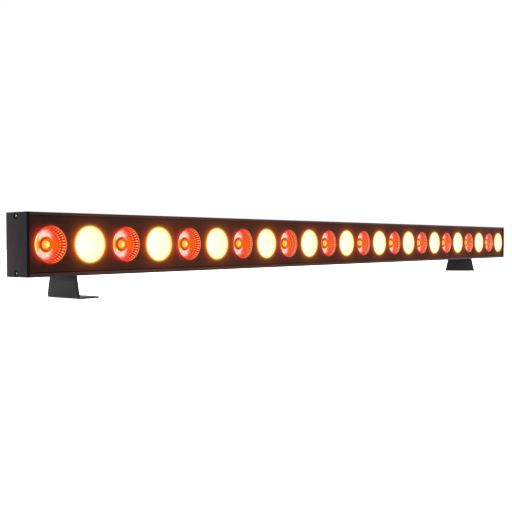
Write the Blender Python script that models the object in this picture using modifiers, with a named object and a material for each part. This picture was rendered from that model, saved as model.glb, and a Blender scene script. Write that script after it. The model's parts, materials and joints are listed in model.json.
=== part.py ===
"""Pixel batten for stage light: 24 lensed emitters in one row, on a slim aluminium bar.

World frame: metres, +X along the bar, -Y the light's front, +Z up. The feet stand on Z = 0
and the origin is the middle of the bounding box's floor. Run it in Blender 4.5, for instance
with: blender --background --python part.py
"""
import math

import bmesh
import bpy
from mathutils import Matrix, Vector

# ---- driving dimensions, in metres -------------------------------------------------------
BAR_LENGTH = 1.000          # over both end caps
BAR_DEPTH = 0.031
BAR_HEIGHT = 0.055
LENS_COUNT = 24
LENS_PITCH = 0.0414
LENS_HOLE_DIA = 0.0324      # hole in the front panel
FOOT_HEIGHT = 0.0205        # floor to the top of a foot bracket
DRIVER_LENGTH = 0.420       # rear housing with power supply and controls
DRIVER_HEIGHT = 0.050
DRIVER_DEPTH = 0.038
FIT = 0.0003                # gap between pieces that touch

WALL = 0.0018               # extruded wall
CAP_THICKNESS = 0.0024
PANEL_RECESS = 0.0012       # lip in front of the panel
PANEL_THICKNESS = 0.0020
PANEL_EDGE = 0.0021         # body's bottom or top to the panel's edge
LIP_TOP = 0.0025
LIP_BOTTOM = 0.0034
RIB = 0.0020                # height of the ribs that hold panel and board
BOARD_FRONT = 0.0118        # depth of the emitter board behind the front
BOARD_THICKNESS = 0.0016
BOARD_LOW = 0.0082
EMITTER_SIZE = 0.0035
EMITTER_FRONT = 0.0111      # depth of an emitter's face behind the front
PORT_DEPTH = 0.0165         # depth of the screw ports behind the front
PORT_INSET = 0.0032         # screw centre to the body's top or bottom
PORT_HALF = 0.0029
SCREW_DIA = 0.0029
SCREW_HEAD_DIA = 0.0052     # countersunk, its face just under the cap's
SCREW_SUNK = 0.0001
SCREW_LENGTH = 0.012
LENS_PROUD = 0.0010         # lens in front of the panel
LENS_LIP = 0.0014           # flange of a lens behind the panel, beyond its window
LENS_LIP_THICKNESS = 0.0012
LENS_BACK_DIA = 0.0116

SLOT_DEPTH = 0.0241         # middle of the T-slot behind the front
SLOT_MOUTH = 0.0064
SLOT_WIDTH = 0.0090
SLOT_TOP = 0.0063           # slot ceiling above the body's bottom

SHEET = 0.0015              # foot bracket sheet
BEND = 0.0010               # outer radius of its bends
FOOT_WEB_X = -0.0075        # bolt axis to the web's outer face
FOOT_TAB_RADIUS = 0.0070    # round tab at the web's top, about the bolt axis
FOOT_FLANGE = 0.0230
FOOT_CORNER = 0.0020
FOOT_WIDTH_LOW = 0.0480
FOOT_WIDTH_HIGH = 0.0390
BOLT_DIA = 0.0040
BOLT_HEAD_DIA = 0.0081      # across the corners of its hexagon
BOLT_HEAD_HEIGHT = 0.0028
WASHER_DIA = 0.0090
WASHER_THICKNESS = 0.0008
NUT_SIZE = (0.0140, 0.0084, 0.0032)
FOOT_LEFT_X = -0.4409       # bolt axes
FOOT_RIGHT_X = 0.3660
FOOT_RIGHT_SWIVEL = 26.0    # degrees, anticlockwise from above

COVER_SHEET = 0.0015
SUPPLY_SIZE = (0.260, 0.018, 0.040)
CONTROL_BOARD_SIZE = (0.130, 0.0016, 0.040)
CONTROL_BOARD_X = -0.020
CONTROL_BOARD_DEPTH = 0.0125   # middle of the board ahead of the cover's rear face
PLATE_THICKNESS = 0.0020
VENT_COUNT = 5
VENT_PITCH = 0.0055
VENT_SIZE = (0.0022, 0.0240)
SOCKET_X = {"power_in": 0.175, "power_out": 0.140, "dmx_in": -0.140, "dmx_out": -0.175}
SOCKET_DIA = 0.0230
SOCKET_PLATE = (0.026, 0.031, 0.0016)
SOCKET_BACK = 0.0180        # socket body behind its plate
SOCKET_WELL = 0.0145        # depth of a socket's well
MAINS_WELL_DIA = 0.0190
MAINS_CORE_DIA = 0.0084
MAINS_CORE_SUNK = 0.0030
PIN_WELL_DIA = 0.0168
PIN_DIA = 0.0024
PIN_SUNK = 0.0025
CONTACT_DIA = 0.0028
CONTACT_DEPTH = 0.0110
CONTACT_RING = 0.0042       # radius of the circle that three pins or contacts stand on
FUSE_X = 0.105
FUSE_DIA = 0.0120           # fuse holder's body
FUSE_RING_DIA = 0.0160
FUSE_BORE_DIA = 0.0086
FUSE_DEPTH = 0.0200
FUSE_CAP_DIA = 0.0130
FUSE_CAP_HEIGHT = 0.0070
FUSE_STEM = 0.0120
COIN_SLOT = (0.0100, 0.0014, 0.0030)
LATCH_SIZE = (0.0050, 0.0030, 0.0045)
LATCH_WELL = 0.0050
LATCH_PROUD = 0.0010
LATCH_Y = 0.0085            # above the socket's middle
COVER_SCREW_X = 0.198
COVER_SCREW_DIA = 0.0036
COVER_SCREW_HEAD = 0.0070
COVER_SCREW_HEAD_HEIGHT = 0.0020
WINDOW_X = 0.020
WINDOW_SIZE = (0.034, 0.016)
WINDOW_LIP = 0.0030
WINDOW_THICKNESS = 0.0012
BUTTON_X = (-0.020, -0.035, -0.050, -0.065)
BUTTON_DIA = 0.0080
BUTTON_PROUD = 0.0020
BUTTON_TRAVEL = 0.0010
BUTTON_SKIRT = 0.0010

ROUND = 12                  # sides of a lens, screw or button
HEXAGON = 6
FINE_ROUND = 16             # sides of a socket
TINY_ROUND = 8              # sides of a screw hole or contact pin

# ---- places worked out from them ---------------------------------------------------------
BODY_LOW = FOOT_HEIGHT + FIT
BODY_MID = BODY_LOW + BAR_HEIGHT / 2
BODY_TOP = BODY_LOW + BAR_HEIGHT
FULL_DEPTH = BAR_DEPTH + FIT + DRIVER_DEPTH + FIT + SOCKET_PLATE[2] + FIT + FUSE_CAP_HEIGHT
FRONT = -FULL_DEPTH / 2
BAR_BACK = FRONT + BAR_DEPTH
DRIVER_FRONT = BAR_BACK + FIT
DRIVER_BACK = DRIVER_FRONT + DRIVER_DEPTH
HOUSING_LENGTH = BAR_LENGTH - 2 * (CAP_THICKNESS + FIT)
PANEL_FRONT = FRONT + PANEL_RECESS + FIT
SLOT_Y = FRONT + SLOT_DEPTH

TOWARD_FRONT = (math.radians(90), 0, 0)                  # local Z to -Y, local Y up
TOWARD_BACK = (math.radians(90), 0, math.radians(180))   # local Z to +Y, local Y up
ALONG_BAR = (math.radians(90), 0, math.radians(90))      # local X to +Y, Y up, Z to +X
TOWARD_LEFT = (math.radians(90), 0, math.radians(-90))   # local X to -Y, Y up, Z to -X

COLOURS = {
    "satin_black": ((0.045, 0.043, 0.044), 0.45, 0.0),
    "panel_black": ((0.030, 0.028, 0.028), 0.35, 0.0),
    "black_screw": ((0.020, 0.020, 0.021), 0.30, 1.0),
    "zinc_steel": ((0.55, 0.55, 0.56), 0.35, 1.0),
    "board_white": ((0.75, 0.75, 0.72), 0.50, 0.0),
    "board_green": ((0.02, 0.12, 0.05), 0.50, 0.0),
    "lens_red": ((0.90, 0.16, 0.04), 0.10, 0.0),
    "lens_warm": ((1.00, 0.80, 0.45), 0.10, 0.0),
    "module_steel": ((0.50, 0.50, 0.52), 0.40, 1.0),
    "black_plastic": ((0.025, 0.025, 0.026), 0.50, 0.0),
    "window_glass": ((0.010, 0.012, 0.014), 0.05, 0.0),
    "button_grey": ((0.30, 0.30, 0.31), 0.50, 0.0),
}


# ---- helpers -----------------------------------------------------------------------------
def clear_scene():
    for item in list(bpy.data.objects):
        bpy.data.objects.remove(item, do_unlink=True)


def collection(name):
    made = bpy.data.collections.new(name)
    bpy.context.scene.collection.children.link(made)
    return made


def material(name):
    made = bpy.data.materials.get(name)
    if made is None:
        colour, roughness, metallic = COLOURS[name]
        made = bpy.data.materials.new(name)
        made.use_nodes = True
        shader = made.node_tree.nodes["Principled BSDF"]
        shader.inputs["Base Color"].default_value = (*colour, 1.0)
        shader.inputs["Roughness"].default_value = roughness
        shader.inputs["Metallic"].default_value = metallic
    return made


def place(item, look, location=(0, 0, 0), rotation=(0, 0, 0), parent=None):
    """Link an object to the batten with its material, place and parent."""
    item.location = location
    item.rotation_euler = rotation
    item.data.materials.append(material(look))
    PARTS.objects.link(item)
    item.parent = parent
    return item


def circle(radius, sides=ROUND, centre=(0, 0), clockwise=False):
    """Corners of a regular polygon, the first one at local +X."""
    turn = -1 if clockwise else 1
    steps = [turn * 2 * math.pi * i / sides for i in range(sides)]
    return [(centre[0] + radius * math.cos(a), centre[1] + radius * math.sin(a)) for a in steps]


def rounded_rectangle(width, height, radius, steps=3):
    """Outline of a rectangle about the origin, with each corner an arc."""
    points = []
    for quarter, (sx, sy) in enumerate([(1, 1), (-1, 1), (-1, -1), (1, -1)]):
        cx = sx * (width / 2 - radius)
        cy = sy * (height / 2 - radius)
        for i in range(steps + 1):
            angle = math.pi / 2 * (quarter + i / steps)
            points.append((cx + radius * math.cos(angle), cy + radius * math.sin(angle)))
    return points


def outline(name, loops, thickness):
    """Flat plate with holes: the first loop is its edge, and the others are its holes."""
    curve = bpy.data.curves.new(name, "CURVE")
    curve.dimensions = "2D"
    curve.fill_mode = "BOTH"
    curve.extrude = thickness / 2
    for loop in loops:
        spline = curve.splines.new("POLY")
        spline.points.add(len(loop) - 1)
        for point, (x, y) in zip(spline.points, loop):
            point.co = (x, y, 0, 1)
        spline.use_cyclic_u = True
    return bpy.data.objects.new(name, curve)


def to_mesh(item):
    """The same object as a mesh whose caps are welded, ready for a Boolean."""
    bpy.context.scene.collection.objects.link(item)
    graph = bpy.context.evaluated_depsgraph_get()
    mesh = bpy.data.meshes.new_from_object(item.evaluated_get(graph))
    name = item.name
    bpy.data.objects.remove(item, do_unlink=True)
    work = bmesh.new()
    work.from_mesh(mesh)
    bmesh.ops.remove_doubles(work, verts=work.verts, dist=0.00001)
    work.to_mesh(mesh)
    work.free()
    return bpy.data.objects.new(name, mesh)


def box(name, size, centre=(0, 0, 0)):
    mesh = bpy.data.meshes.new(name)
    work = bmesh.new()
    bmesh.ops.create_cube(work, size=1, matrix=Matrix.Diagonal((*size, 1)))
    bmesh.ops.translate(work, verts=work.verts, vec=centre)
    work.to_mesh(mesh)
    work.free()
    return bpy.data.objects.new(name, mesh)


def cylinder(name, radius, low, high, sides=ROUND, centre=(0, 0)):
    """Round bar along local Z from low to high, with a corner at local +X."""
    mesh = bpy.data.meshes.new(name)
    work = bmesh.new()
    bmesh.ops.create_cone(work, cap_ends=True, segments=sides, radius1=radius, radius2=radius,
                          depth=high - low)
    quarter_side = Matrix.Rotation(math.pi / 2, 4, "Z")
    bmesh.ops.transform(work, verts=work.verts, matrix=quarter_side)
    bmesh.ops.translate(work, verts=work.verts, vec=(*centre, (low + high) / 2))
    work.to_mesh(mesh)
    work.free()
    return bpy.data.objects.new(name, mesh)


def turned(name, profile, sides, closed=False):
    """Profile of (radius, height) points turned about local Z; it runs down the outside."""
    count = len(profile)
    edges = [(i, i + 1) for i in range(count - 1)]
    if closed:
        edges.append((count - 1, 0))
    mesh = bpy.data.meshes.new(name)
    mesh.from_pydata([(radius, 0, height) for radius, height in profile], edges, [])
    item = bpy.data.objects.new(name, mesh)
    screw = item.modifiers.new("turn", "SCREW")
    screw.axis = "Z"
    screw.steps = sides
    screw.render_steps = sides
    screw.use_merge_vertices = True
    screw.merge_threshold = 0.00002
    return item


def merged(tools):
    """One tool that holds every tool's mesh, so that a single Boolean takes them all."""
    work = bmesh.new()
    for tool in tools:
        work.from_mesh(tool.data)
    work.to_mesh(tools[0].data)
    work.free()
    for tool in tools[1:]:
        bpy.data.objects.remove(tool, do_unlink=True)
    return tools[0]


def join_or_cut(target, tools, operation, solver="EXACT"):
    """Boolean the tools, given in the target's own space, with the target."""
    for number, tool in enumerate(tools):
        tool.hide_render = True
        tool.display_type = "WIRE"
        CUTTERS.objects.link(tool)
        tool.parent = target
        step = target.modifiers.new(f"{operation.lower()}_{number}", "BOOLEAN")
        step.operation = operation
        step.solver = solver
        step.object = tool


def empty(name, location, rotation=(0, 0, 0)):
    """Joint frame of a moving piece."""
    item = bpy.data.objects.new(name, None)
    item.location = location
    item.rotation_euler = rotation
    item.empty_display_size = 0.02
    PARTS.objects.link(item)
    return item


# ---- bar ---------------------------------------------------------------------------------
def bar_section():
    """Section of the extrusion as (depth, height): open at the front, T-slot in the floor."""
    top = BAR_HEIGHT - WALL
    rib_front = PANEL_RECESS + PANEL_THICKNESS + 2 * FIT
    board_rib = BOARD_FRONT - FIT
    port_front = BOARD_FRONT + BOARD_THICKNESS + FIT
    port_back = PORT_DEPTH + PORT_HALF
    port_high = BAR_HEIGHT - 2 * PORT_INSET
    slot_front = SLOT_DEPTH - SLOT_WIDTH / 2
    slot_back = SLOT_DEPTH + SLOT_WIDTH / 2
    mouth_front = SLOT_DEPTH - SLOT_MOUTH / 2
    mouth_back = SLOT_DEPTH + SLOT_MOUTH / 2
    return [
        # floor, left to right, with the slot's mouth, and the back and the top
        (0, 0), (mouth_front, 0), (mouth_front, WALL), (slot_front, WALL),
        (slot_front, SLOT_TOP), (slot_back, SLOT_TOP), (slot_back, WALL), (mouth_back, WALL),
        (mouth_back, 0), (BAR_DEPTH, 0), (BAR_DEPTH, BAR_HEIGHT), (0, BAR_HEIGHT),
        # upper lip, panel groove, board groove and screw port
        (0, BAR_HEIGHT - LIP_TOP), (PANEL_RECESS, BAR_HEIGHT - LIP_TOP), (PANEL_RECESS, top),
        (rib_front, top), (rib_front, top - RIB), (rib_front + WALL, top - RIB),
        (rib_front + WALL, top), (board_rib - WALL, top), (board_rib - WALL, top - RIB),
        (board_rib, top - RIB), (board_rib, top), (port_front, top), (port_front, port_high),
        (port_back, port_high), (port_back, top),
        # inside of the back wall, down to the slot's roof
        (BAR_DEPTH - WALL, top), (BAR_DEPTH - WALL, SLOT_TOP + WALL),
        (port_front + WALL, SLOT_TOP + WALL), (port_front + WALL, BOARD_LOW + RIB),
        # lower board groove, then panel groove and lower lip
        (port_front, BOARD_LOW + RIB), (port_front, BOARD_LOW - FIT),
        (board_rib, BOARD_LOW - FIT), (board_rib, BOARD_LOW + RIB),
        (board_rib - WALL, BOARD_LOW + RIB), (board_rib - WALL, WALL),
        (rib_front + WALL, WALL), (rib_front + WALL, WALL + RIB), (rib_front, WALL + RIB),
        (rib_front, WALL), (PANEL_RECESS, WALL), (PANEL_RECESS, LIP_BOTTOM), (0, LIP_BOTTOM),
    ]


def make_housing():
    """Extrusion with its screw ports, a hollow under the board, and two holes in its back."""
    bore = SCREW_DIA / 2 + FIT
    ports = [circle(bore, TINY_ROUND, (PORT_DEPTH, z))
             for z in (PORT_INSET, BAR_HEIGHT - PORT_INSET)]
    hollow_front = BOARD_FRONT - 2 * FIT
    hollow_back = PORT_DEPTH - PORT_HALF
    hollow = [(hollow_front, WALL), (hollow_back, WALL),
              (hollow_back, BOARD_LOW - WALL), (hollow_front, BOARD_LOW - WALL)]
    item = to_mesh(outline("housing", [bar_section(), *ports, hollow], HOUSING_LENGTH))
    place(item, "satin_black", (0, FRONT, BODY_LOW), ALONG_BAR)
    holes = []
    for x in (-COVER_SCREW_X, COVER_SCREW_X):
        hole = cylinder(f"housing_hole_{x * 1000:.0f}", COVER_SCREW_DIA / 2 + FIT, -0.003, 0.003,
                        TINY_ROUND)
        turn = Matrix.Rotation(math.radians(90), 4, "Y")
        hole.data.transform(Matrix.Translation((BAR_DEPTH, BAR_HEIGHT / 2, x)) @ turn)
        holes.append(hole)
    join_or_cut(item, [merged(holes)], "DIFFERENCE", "MANIFOLD")


def lens_places():
    first = -LENS_PITCH * (LENS_COUNT - 1) / 2
    return [first + LENS_PITCH * i for i in range(LENS_COUNT)]


def make_front_panel():
    height = BAR_HEIGHT - 2 * PANEL_EDGE
    edge = rounded_rectangle(HOUSING_LENGTH, height, 0.0002, 1)
    holes = [circle(LENS_HOLE_DIA / 2, ROUND, (x, 0)) for x in lens_places()]
    item = outline("front_panel", [edge, *holes], PANEL_THICKNESS)
    place(item, "panel_black", (0, PANEL_FRONT + PANEL_THICKNESS / 2, BODY_MID), TOWARD_FRONT)


def make_end_caps():
    """Plates on the bar's ends, each with two countersunk screws in the extrusion's ports."""
    middle = FRONT + BAR_DEPTH / 2
    reach = HOUSING_LENGTH / 2 + FIT
    head = SCREW_HEAD_DIA / 2
    shank = SCREW_DIA / 2
    cone = head - shank
    screw_profile = [(0, -SCREW_SUNK), (head, -SCREW_SUNK), (shank, -SCREW_SUNK - cone),
                     (shank, -SCREW_LENGTH), (0, -SCREW_LENGTH)]
    above = 0.001
    sink_profile = [(0, above), (head + FIT + above, above), (shank + FIT, -cone),
                    (shank + FIT, -CAP_THICKNESS - above), (0, -CAP_THICKNESS - above)]
    for side, sign, turn in (("left", -1, TOWARD_LEFT), ("right", 1, ALONG_BAR)):
        edge = rounded_rectangle(BAR_DEPTH, BAR_HEIGHT, 0.0008, 2)
        cap = to_mesh(outline(f"end_cap_{side}", [edge], CAP_THICKNESS))
        place(cap, "satin_black", (sign * (reach + CAP_THICKNESS / 2), middle, BODY_MID), turn)
        sinks = []
        for end, height in (("top", BODY_TOP - PORT_INSET), ("bottom", BODY_LOW + PORT_INSET)):
            screw = turned(f"end_cap_screw_{side}_{end}", screw_profile, ROUND)
            at = (sign * (reach + CAP_THICKNESS), FRONT + PORT_DEPTH, height)
            place(screw, "black_screw", at, turn)
            sink = to_mesh(turned(f"sink_{side}_{end}", sink_profile, ROUND))
            across = sign * (FRONT + PORT_DEPTH - middle)
            lift = Matrix.Translation((across, height - BODY_MID, CAP_THICKNESS / 2))
            sink.data.transform(lift)
            sinks.append(sink)
        join_or_cut(cap, [merged(sinks)], "DIFFERENCE")


def make_led_board():
    low = BODY_LOW + BOARD_LOW
    high = BODY_TOP - PANEL_EDGE
    board = box("led_board", (HOUSING_LENGTH - 0.004, BOARD_THICKNESS, high - low))
    middle = (low + high) / 2
    board_middle = BOARD_FRONT + BOARD_THICKNESS / 2
    place(board, "board_white", (0, FRONT + board_middle, middle))
    emitters = []
    for number, x in enumerate(lens_places(), 1):
        depth = BOARD_FRONT + FIT - EMITTER_FRONT
        centre = (x, EMITTER_FRONT + depth / 2 - board_middle, BODY_MID - middle)
        emitters.append(box(f"emitter_{number:02d}", (EMITTER_SIZE, depth, EMITTER_SIZE), centre))
    join_or_cut(board, [merged(emitters)], "UNION")


def make_lenses():
    """Cup lens: window through the panel, flange behind it, and cone back to the emitter."""
    face = LENS_HOLE_DIA / 2 - FIT
    rim = face + LENS_LIP
    flange = -(PANEL_THICKNESS + FIT)
    back = -(EMITTER_FRONT - FIT - (PANEL_FRONT - FRONT))
    edge = LENS_PROUD / 2
    profile = [(0, LENS_PROUD), (face - edge, LENS_PROUD), (face, edge), (face, flange),
               (rim, flange),
               (rim, flange - LENS_LIP_THICKNESS), (LENS_BACK_DIA / 2, back), (0, back)]
    for number, x in enumerate(lens_places(), 1):
        lens = turned(f"lens_{number:02d}", profile, ROUND)
        look = "lens_red" if number % 2 else "lens_warm"
        place(lens, look, (x, PANEL_FRONT, BODY_MID), TOWARD_FRONT)


# ---- feet --------------------------------------------------------------------------------
def bracket_section():
    """Section of a foot in X and Z about its bolt: upright web and foot flange."""
    web = FOOT_WEB_X
    bend = [(web + BEND * (1 - math.cos(angle)), BEND * (1 - math.sin(angle)))
            for angle in (0, math.pi / 4, math.pi / 2)]
    return [
        (web, FOOT_HEIGHT), *bend, (web + FOOT_FLANGE, 0), (web + FOOT_FLANGE, SHEET),
        (web + SHEET, SHEET), (web + SHEET, FOOT_HEIGHT),
    ]


def make_bracket(name, parent):
    """Bent sheet: a web that widens downward, a foot flange, and a round tab for the bolt."""
    bracket = to_mesh(outline(name, [bracket_section()], FOOT_WIDTH_LOW))
    mesh = bracket.data
    mesh.transform(Matrix.Rotation(math.radians(90), 4, "X"))
    narrowing = (FOOT_WIDTH_HIGH - FOOT_WIDTH_LOW) / FOOT_WIDTH_LOW
    for vertex in mesh.vertices:
        vertex.co.y *= 1 + narrowing * vertex.co.z / FOOT_HEIGHT
    work = bmesh.new()
    work.from_mesh(mesh)
    tip = FOOT_WEB_X + FOOT_FLANGE
    corners = [edge for edge in work.edges
               if all(abs(vertex.co.x - tip) < 1e-6 for vertex in edge.verts)
               and abs(edge.verts[0].co.z - edge.verts[1].co.z) > 0.5 * SHEET]
    bmesh.ops.bevel(work, geom=corners, offset=FOOT_CORNER, segments=3, profile=0.5,
                    affect="EDGES")
    work.to_mesh(mesh)
    work.free()
    place(bracket, "satin_black", parent=parent)
    radius = FOOT_TAB_RADIUS
    root = FOOT_WEB_X + SHEET / 2
    arc = [math.radians(angle) for angle in range(-90, 91, 30)]
    edge = [(root, radius), (root, -radius)]
    edge += [(radius * math.cos(angle), radius * math.sin(angle)) for angle in arc]
    tab = to_mesh(outline(name + "_tab", [edge, circle(BOLT_DIA / 2 + FIT)], SHEET))
    tab.data.transform(Matrix.Translation((0, 0, FOOT_HEIGHT - SHEET / 2)))
    join_or_cut(bracket, [tab], "UNION")


def make_feet():
    """Each foot turns on a hexagon bolt, whose nut slides in the bar's slot."""
    washer_top = FOOT_HEIGHT - SHEET - FIT
    head_top = washer_top - WASHER_THICKNESS - FIT
    nut_low = BODY_LOW + WALL + FIT
    bolt_top = nut_low + NUT_SIZE[2] + FIT
    shank = BOLT_DIA / 2
    bore = shank + FIT
    washer = [(bore, washer_top), (WASHER_DIA / 2, washer_top),
              (WASHER_DIA / 2, washer_top - WASHER_THICKNESS),
              (bore, washer_top - WASHER_THICKNESS)]
    for side, x, swivel in (("left", FOOT_LEFT_X, 0), ("right", FOOT_RIGHT_X, FOOT_RIGHT_SWIVEL)):
        axis = empty(f"foot_axis_{side}", (x, SLOT_Y, 0))
        turn = empty(f"foot_swivel_{side}", (0, 0, 0), (0, 0, math.radians(swivel)))
        turn.parent = axis
        make_bracket(f"foot_bracket_{side}", turn)
        name = f"foot_bolt_{side}"
        bolt = cylinder(name, BOLT_HEAD_DIA / 2, head_top - BOLT_HEAD_HEIGHT, head_top, HEXAGON)
        place(bolt, "zinc_steel", parent=axis)
        thread = cylinder(name + "_thread", shank, head_top - BOLT_HEAD_HEIGHT / 2, bolt_top)
        join_or_cut(bolt, [thread], "UNION")
        place(turned(f"foot_washer_{side}", washer, ROUND, closed=True), "zinc_steel",
              parent=axis)
        edge = rounded_rectangle(NUT_SIZE[0], NUT_SIZE[1], 0.001, 1)
        nut = outline(f"t_nut_{side}", [edge, circle(bore)], NUT_SIZE[2])
        place(nut, "zinc_steel", (0, 0, nut_low + NUT_SIZE[2] / 2), parent=axis)


# ---- rear housing ------------------------------------------------------------------------
def make_driver_cover():
    """Folded cover: an open channel of sheet with its holes cut through the rear wall."""
    cover = box("driver_cover", (DRIVER_LENGTH, DRIVER_DEPTH, DRIVER_HEIGHT))
    work = bmesh.new()
    work.from_mesh(cover.data)
    open_faces = [face for face in work.faces if face.normal.y < -0.5 or abs(face.normal.x) > 0.5]
    bmesh.ops.delete(work, geom=open_faces, context="FACES")
    folds = [edge for edge in work.edges if len(edge.link_faces) == 2]
    bmesh.ops.bevel(work, geom=folds, offset=0.003, segments=3, profile=0.5, affect="EDGES")
    work.to_mesh(cover.data)
    work.free()
    shell = cover.modifiers.new("sheet", "SOLIDIFY")
    shell.thickness = COVER_SHEET
    shell.offset = -1
    place(cover, "satin_black", (0, DRIVER_FRONT + DRIVER_DEPTH / 2, BODY_MID))
    low = DRIVER_DEPTH / 2 - 0.003
    high = DRIVER_DEPTH / 2 + 0.003
    rounds = [(x, SOCKET_DIA / 2, FINE_ROUND) for x in SOCKET_X.values()]
    rounds += [(x, BUTTON_DIA / 2 + FIT, ROUND) for x in BUTTON_X]
    rounds += [(x, COVER_SCREW_DIA / 2 + FIT, TINY_ROUND) for x in (-COVER_SCREW_X, COVER_SCREW_X)]
    rounds.append((FUSE_X, FUSE_DIA / 2 + FIT, ROUND))
    window = (WINDOW_SIZE[0] + 2 * FIT, high - low, WINDOW_SIZE[1] + 2 * FIT)
    holes = [box("cover_holes", window, (WINDOW_X, (low + high) / 2, 0))]
    for x, radius, sides in rounds:
        hole = cylinder(f"hole_{x * 1000:.0f}", radius, low, high, sides)
        turn = Matrix.Rotation(math.radians(-90), 4, "X")
        hole.data.transform(Matrix.Translation((x, 0, 0)) @ turn)
        holes.append(hole)
    join_or_cut(cover, [merged(holes)], "DIFFERENCE")
    head_at = COVER_SCREW_HEAD_HEIGHT + FIT
    head = COVER_SCREW_HEAD / 2
    shank = COVER_SCREW_DIA / 2
    tip = -(DRIVER_DEPTH + FIT + WALL + 0.003)
    screw = [(0, head_at), (0.7 * head, head_at), (head, head_at - 0.0008), (head, FIT),
             (shank, FIT), (shank, tip), (0, tip)]
    for side, x in (("left", -COVER_SCREW_X), ("right", COVER_SCREW_X)):
        place(turned(f"cover_screw_{side}", screw, TINY_ROUND), "black_screw",
              (x, DRIVER_BACK, BODY_MID), TOWARD_BACK)


def make_driver_insides():
    width = DRIVER_DEPTH - COVER_SHEET - 2 * FIT
    height = DRIVER_HEIGHT - 2 * (COVER_SHEET + FIT)
    middle = DRIVER_FRONT + FIT + width / 2
    edge = rounded_rectangle(width, height, 0.002, 2)
    vents = []
    for i in range(VENT_COUNT):
        centre = VENT_PITCH * (i - (VENT_COUNT - 1) / 2)
        slot = rounded_rectangle(*VENT_SIZE, 0.001, 1)
        vents.append([(x + centre, y) for x, y in slot])
    for side, sign, turn in (("left", -1, TOWARD_LEFT), ("right", 1, ALONG_BAR)):
        plate = outline(f"driver_end_plate_{side}", [edge, *vents], PLATE_THICKNESS)
        x = sign * (DRIVER_LENGTH / 2 - 0.001 - PLATE_THICKNESS / 2)
        place(plate, "satin_black", (x, middle, BODY_MID), turn)
    supply = box("power_supply", SUPPLY_SIZE)
    edges = supply.modifiers.new("edges", "BEVEL")
    edges.width = 0.0008
    edges.segments = 1
    place(supply, "module_steel", (0, DRIVER_FRONT + FIT + SUPPLY_SIZE[1] / 2, BODY_MID))
    board = box("control_board", CONTROL_BOARD_SIZE)
    place(board, "board_green", (CONTROL_BOARD_X, DRIVER_BACK - CONTROL_BOARD_DEPTH, BODY_MID))


def make_window_and_buttons():
    """Pane with a step into the cover's opening, and buttons held in by their skirts."""
    width, height = WINDOW_SIZE
    lip = 2 * WINDOW_LIP
    pane = box("display_window", (width + lip, WINDOW_THICKNESS, height + lip))
    pane_middle = DRIVER_BACK - COVER_SHEET - FIT - WINDOW_THICKNESS / 2
    place(pane, "window_glass", (WINDOW_X, pane_middle, BODY_MID))
    step_depth = DRIVER_BACK - pane_middle
    step = box("display_window_step", (width, step_depth, height), (0, step_depth / 2, 0))
    join_or_cut(pane, [step], "UNION")
    stem = BUTTON_DIA / 2
    skirt = stem + BUTTON_SKIRT
    edge = 0.0006
    under = -(COVER_SHEET + FIT)
    profile = [(0, BUTTON_PROUD), (stem - edge, BUTTON_PROUD), (stem, BUTTON_PROUD - edge),
               (stem, under), (skirt, under), (skirt, under - BUTTON_SKIRT),
               (0, under - BUTTON_SKIRT)]
    for number, x in enumerate(BUTTON_X, 1):
        button = turned(f"menu_button_{number}", profile, ROUND)
        place(button, "button_grey", (x, DRIVER_BACK, BODY_MID), TOWARD_BACK)


def socket_blank(name, look, x):
    """Plate on the cover and round body through it, about the plate's outer face."""
    thickness = SOCKET_PLATE[2]
    plate = to_mesh(outline(name, [rounded_rectangle(*SOCKET_PLATE[:2], 0.003, 2)], thickness))
    plate.data.transform(Matrix.Translation((0, 0, -thickness / 2)))
    at = (x, DRIVER_BACK + FIT + thickness, BODY_MID)
    place(plate, look, at, TOWARD_BACK)
    body = cylinder(name + "_body", SOCKET_DIA / 2 - FIT, -SOCKET_BACK - thickness,
                    -thickness / 4, FINE_ROUND)
    join_or_cut(plate, [body], "UNION")
    return plate


def contact_places(first):
    """Three places on the contact circle, the first one at the given angle in degrees."""
    angles = [math.radians(first + 120 * i) for i in range(3)]
    return [(CONTACT_RING * math.cos(angle), CONTACT_RING * math.sin(angle)) for angle in angles]


def make_sockets():
    """Two mains sockets with a core, a three-pin plug-in, and a three-hole socket."""
    bottom = -SOCKET_WELL
    root = bottom - 0.001
    above = 0.001
    for name in ("power_in", "power_out"):
        plate = socket_blank(name, "black_plastic", SOCKET_X[name])
        well = cylinder(name + "_well", MAINS_WELL_DIA / 2, bottom, above, FINE_ROUND)
        core = cylinder(name + "_core", MAINS_CORE_DIA / 2, root, -MAINS_CORE_SUNK)
        join_or_cut(plate, [well], "DIFFERENCE")
        join_or_cut(plate, [core], "UNION")
    male = socket_blank("dmx_in", "black_plastic", SOCKET_X["dmx_in"])
    well = cylinder("dmx_in_well", PIN_WELL_DIA / 2, bottom, above, FINE_ROUND)
    pins = [cylinder(f"dmx_in_pin_{i}", PIN_DIA / 2, root, -PIN_SUNK, TINY_ROUND, at)
            for i, at in enumerate(contact_places(210))]
    join_or_cut(male, [well], "DIFFERENCE")
    join_or_cut(male, [merged(pins)], "UNION")
    female = socket_blank("dmx_out", "black_plastic", SOCKET_X["dmx_out"])
    holes = [cylinder(f"dmx_out_hole_{i}", CONTACT_DIA / 2, -CONTACT_DEPTH, above, TINY_ROUND, at)
             for i, at in enumerate(contact_places(30))]
    width, height, depth = LATCH_SIZE
    well_size = (width + 2 * FIT, height + 2 * FIT, 2 * LATCH_WELL)
    latch_well = box("dmx_out_latch_well", well_size, (0, LATCH_Y, 0))
    join_or_cut(female, [merged([*holes, latch_well])], "DIFFERENCE")
    latch = outline("dmx_out_latch", [rounded_rectangle(width, height, 0.0008, 2)], depth)
    face = DRIVER_BACK + FIT + SOCKET_PLATE[2]
    at = (SOCKET_X["dmx_out"], face + LATCH_PROUD - depth / 2, BODY_MID + LATCH_Y)
    place(latch, "button_grey", at, TOWARD_BACK)


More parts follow.
